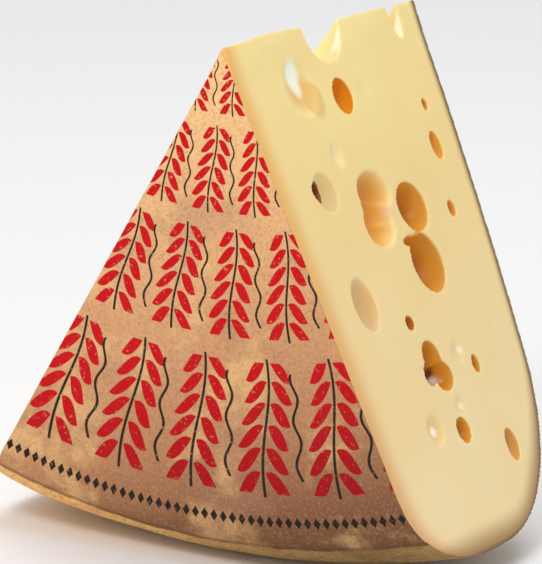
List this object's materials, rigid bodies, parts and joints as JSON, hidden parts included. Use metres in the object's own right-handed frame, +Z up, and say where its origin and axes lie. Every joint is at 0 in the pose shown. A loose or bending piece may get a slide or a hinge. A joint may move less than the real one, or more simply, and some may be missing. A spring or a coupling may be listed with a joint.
{
  "type": "cheese wedge",
  "caption": "Wedge cut from a large wheel of pale yellow hard cheese with round eyes in both cut faces, standing on its rounded rind with the point up; food display prop",
  "frame": {"origin": "centre of the resting flat's box on the floor: bottom centre of the part's bounding box", "axes": "+Z up through the wedge's point; Y across the wedge from its flat rind face (-Y) to its domed rind face (+Y), along the axis of the wheel it was cut from; X across the flat rind face, with the eye-rich cut towards +X"},
  "size_m": [0.274, 0.2175, 0.2751],
  "materials": {
    "cheese": "pale cream-yellow hard cheese paste, slightly moist, browner towards a tan rind"
  },
  "bodies": {
    "root": {"cheese_wedge": "cheese"}
  },
  "joints": []
}
